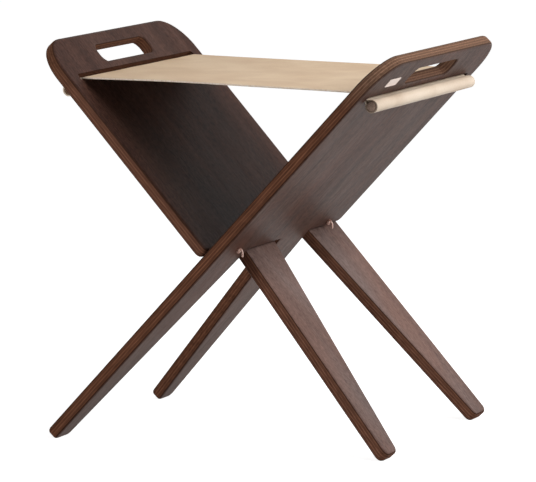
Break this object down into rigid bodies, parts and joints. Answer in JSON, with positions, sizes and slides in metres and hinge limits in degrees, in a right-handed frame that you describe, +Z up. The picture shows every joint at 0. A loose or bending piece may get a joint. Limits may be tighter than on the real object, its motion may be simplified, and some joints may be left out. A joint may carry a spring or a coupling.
{
  "type": "magazine rack",
  "caption": "Folding rack: interlocking plywood boards cross like an X, with a leather sling hung between their tops and knotted laces at the crossing.",
  "frame": {"origin": "on the floor, under the middle of the rack", "axes": "+Z up, +Y along the crossing line, +X across the fold towards the top of the right board"},
  "size_m": [0.468, 0.37, 0.4893],
  "materials": {
    "walnut": "dark stained walnut veneer, satin",
    "sling_leather": "natural undyed leather",
    "dowel_wood": "grey-brown stained wood",
    "lace_leather": "rosy natural leather cord",
    "plate_metal": "bare metal, unmarked"
  },
  "bodies": {
    "right_half": {"board_right": "walnut", "dowel_right": "dowel_wood", "sling": "sling_leather", "lace_front": "lace_leather", "lace_back": "lace_leather", "blank_plate": "plate_metal"},
    "left_half": {"board_left": "walnut", "dowel_left": "dowel_wood"}
  },
  "joints": [
    {"name": "fold", "type": "hinge", "parent": "right_half", "child": "left_half", "pos_m": [0, 0, 0.24704], "axis": [0, 1, 0], "range_deg": [0, 82], "deforming": ["sling", "lace_front", "lace_back"]}
  ]
}
